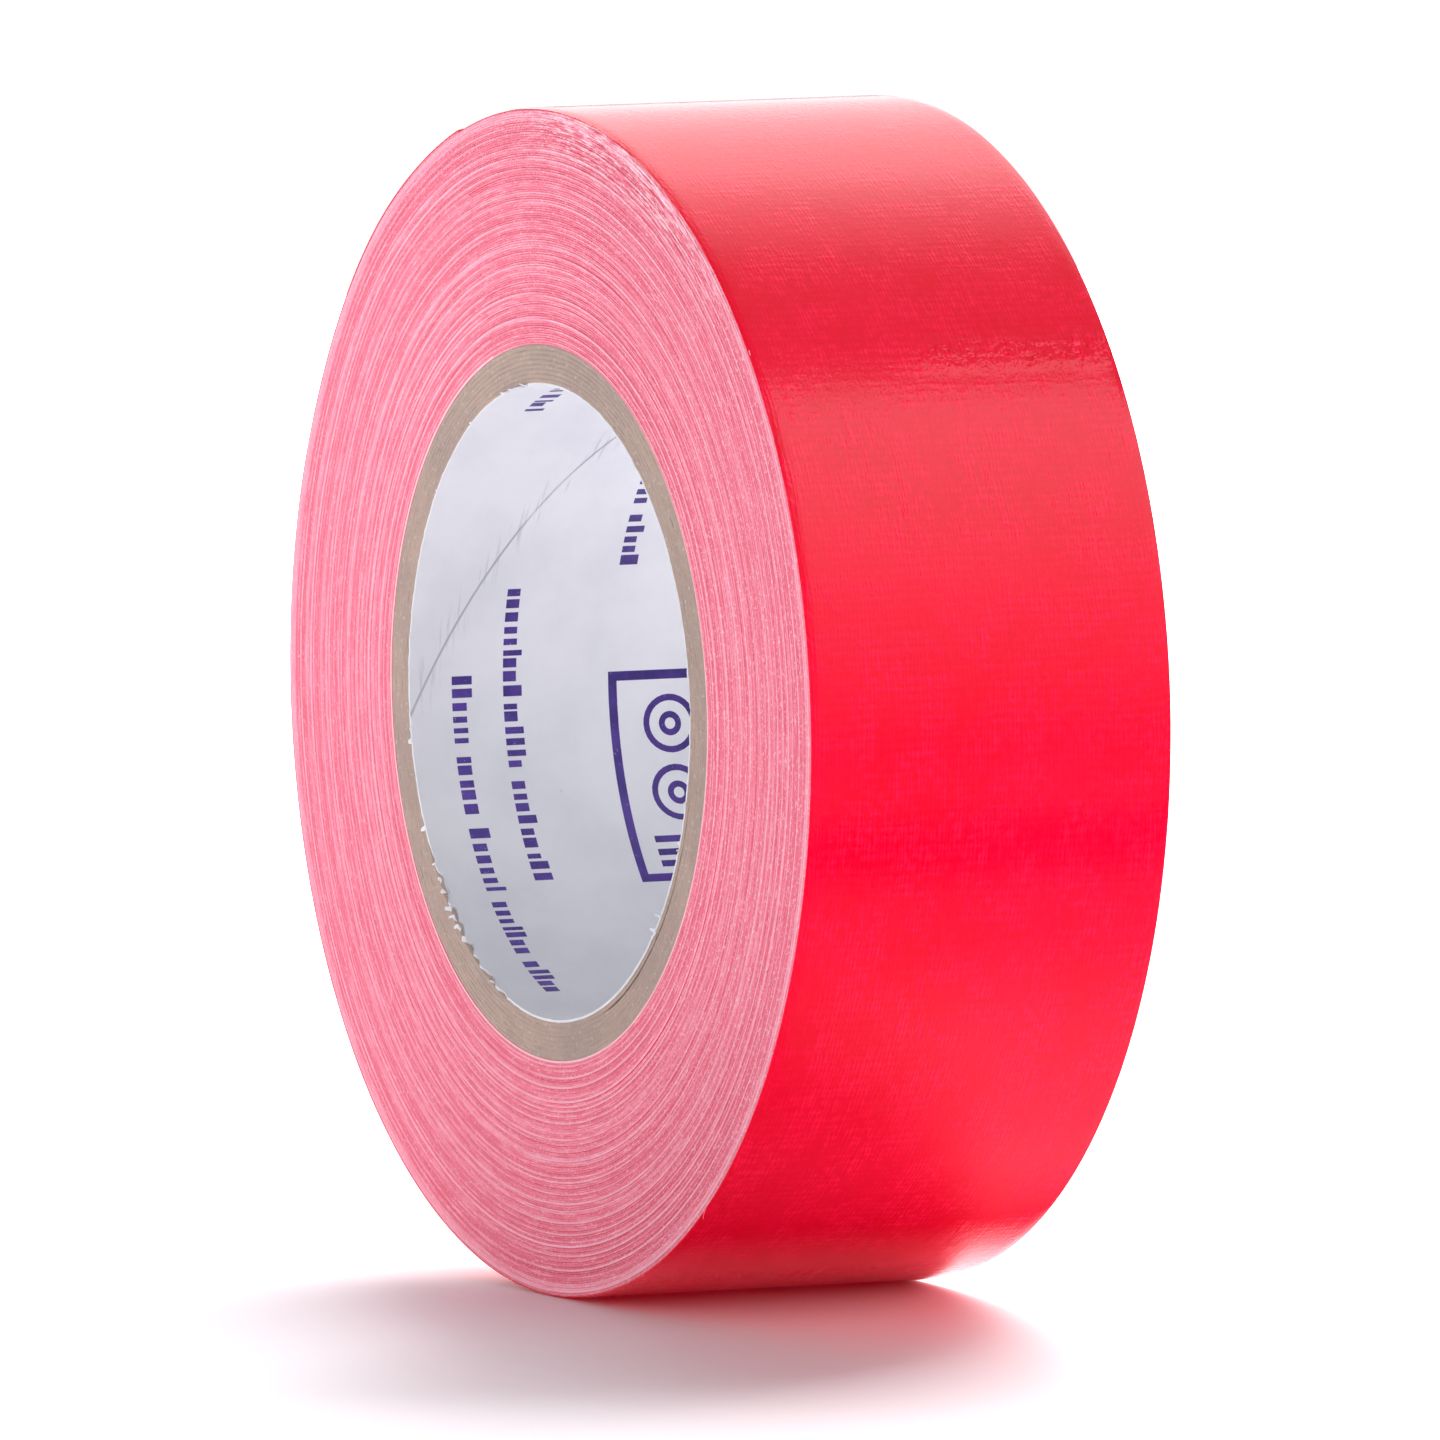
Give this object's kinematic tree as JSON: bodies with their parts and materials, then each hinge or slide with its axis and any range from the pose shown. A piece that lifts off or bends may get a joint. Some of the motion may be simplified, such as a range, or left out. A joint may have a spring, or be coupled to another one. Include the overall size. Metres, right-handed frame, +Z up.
{
  "type": "duct tape roll",
  "caption": "Red cloth duct tape wound on a printed board core, standing on its rim, with a free end that peels off the roll.",
  "frame": {"origin": "centre of the bore through the core, half way along the tape's width", "axes": "+Y along the roll's axis, +Z up from the rim it stands on, +X across the roll"},
  "size_m": [0.1429, 0.0478, 0.1427],
  "materials": {
    "liner_paper": "satin",
    "core_board": "matte",
    "wound_tape": "matte",
    "tape_film": "gloss",
    "tape_cloth": "matte",
    "tape_adhesive": "satin"
  },
  "bodies": {
    "roll": {"core_liner": "liner_paper", "core_ply_1": "core_board", "core_ply_2": "core_board", "core_ply_3": "core_board", "core_ply_4": "core_board", "core_ply_5": "core_board", "core_ply_6": "core_board", "core_ply_7": "core_board", "core_ply_8": "core_board", "tape_turns_01_09": "wound_tape", "tape_turns_10_18": "wound_tape", "tape_turns_19_27": "wound_tape", "tape_turns_28_36": "wound_tape", "tape_turns_37_45": "wound_tape", "tape_turns_46_54": "wound_tape", "tape_turns_55_63": "wound_tape", "tape_turns_64_72": "wound_tape", "tape_turns_73_81": "wound_tape", "tape_turns_82_90": "wound_tape", "tape_turns_91_99": "wound_tape", "outer_turn_film": "tape_film", "outer_turn_cloth": "tape_cloth", "outer_turn_adhesive": "tape_adhesive"},
    "tail_1": {"tail_1_film": "tape_film", "tail_1_cloth": "tape_cloth", "tail_1_adhesive": "tape_adhesive"},
    "tail_2": {"tail_2_film": "tape_film", "tail_2_cloth": "tape_cloth", "tail_2_adhesive": "tape_adhesive"},
    "tail_3": {"tail_3_film": "tape_film", "tail_3_cloth": "tape_cloth", "tail_3_adhesive": "tape_adhesive"},
    "tail_4": {"tail_4_film": "tape_film", "tail_4_cloth": "tape_cloth", "tail_4_adhesive": "tape_adhesive"}
  },
  "joints": [
    {"name": "tail_peel", "type": "hinge", "parent": "roll", "child": "tail_1", "pos_m": [-0.07041, 0, 0.01242], "axis": [0, -1, 0], "range_deg": [0, 60]},
    {"name": "tail_fold_2", "type": "hinge", "parent": "tail_1", "child": "tail_2", "pos_m": [-0.0648, 0, 0.03022], "axis": [0, -1, 0], "range_deg": [0, 30]},
    {"name": "tail_fold_3", "type": "hinge", "parent": "tail_2", "child": "tail_3", "pos_m": [-0.05477, 0, 0.04596], "axis": [0, -1, 0], "range_deg": [0, 30]},
    {"name": "tail_fold_4", "type": "hinge", "parent": "tail_3", "child": "tail_4", "pos_m": [-0.04101, 0, 0.05857], "axis": [0, -1, 0], "range_deg": [0, 30]}
  ],
  "couplings": [
    {"joint": "tail_fold_2", "follows": "tail_peel", "ratio": 0.5},
    {"joint": "tail_fold_3", "follows": "tail_peel", "ratio": 0.5},
    {"joint": "tail_fold_4", "follows": "tail_peel", "ratio": 0.5}
  ]
}
